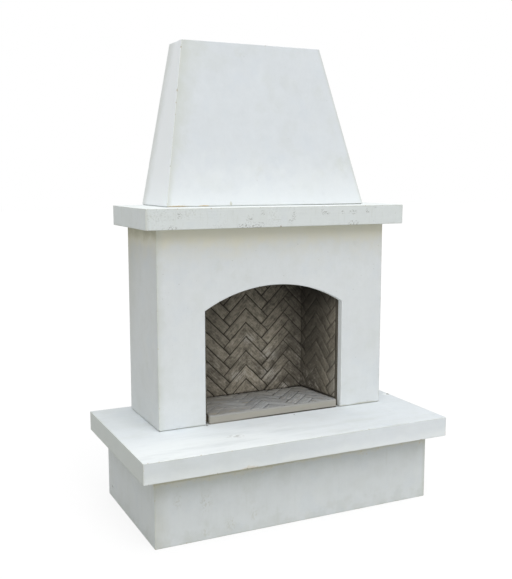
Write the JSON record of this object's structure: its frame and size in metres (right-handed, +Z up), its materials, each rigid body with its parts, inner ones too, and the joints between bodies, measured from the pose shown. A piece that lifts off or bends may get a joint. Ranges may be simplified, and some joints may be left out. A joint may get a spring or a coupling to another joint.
{
  "type": "outdoor fireplace",
  "caption": "Free-standing precast concrete outdoor fireplace with a raised hearth, arched opening, herringbone firebox, mantel slab and tapered open chimney.",
  "frame": {"origin": "on the ground under the middle of the hearth slab, which is the middle of the whole footprint", "axes": "+Z up the chimney, the fire opening faces -Y, +X to the right seen from in front"},
  "size_m": [1.764, 0.975, 2.5694],
  "materials": {
    "concrete": "smooth, form-cast",
    "mortar": "rough",
    "firebrick": "rough, soot-stained",
    "refractory": "rough",
    "insulation_board": "fibrous",
    "stainless_steel": "satin",
    "galvanised_steel": "spangled"
  },
  "bodies": {
    "root": {"pedestal": "concrete", "hearth_slab": "concrete", "surround": "concrete", "mantel": "concrete", "chimney_hood": "concrete", "pedestal_bed": "mortar", "surround_bed": "mortar", "mantel_bed": "mortar", "hood_bed": "mortar", "dome_bed": "mortar", "firebox_back": "firebrick", "firebox_left": "firebrick", "firebox_right": "firebrick", "firebox_floor": "firebrick", "smoke_dome_left": "refractory", "smoke_dome_right": "refractory", "insulation_back": "insulation_board", "insulation_left": "insulation_board", "insulation_right": "insulation_board", "flue_collar": "stainless_steel", "flue_liner": "stainless_steel", "spark_frame": "stainless_steel", "spark_screen": "stainless_steel", "spark_screw_1": "stainless_steel", "spark_screw_2": "stainless_steel", "spark_screw_3": "stainless_steel", "spark_screw_4": "stainless_steel", "lintel_angle": "galvanised_steel", "pedestal_pin_left": "galvanised_steel", "pedestal_pin_right": "galvanised_steel", "surround_pin_left": "galvanised_steel", "surround_pin_right": "galvanised_steel", "mantel_pin_left": "galvanised_steel", "mantel_pin_right": "galvanised_steel", "hood_pin_left": "galvanised_steel", "hood_pin_right": "galvanised_steel"}
  },
  "joints": []
}
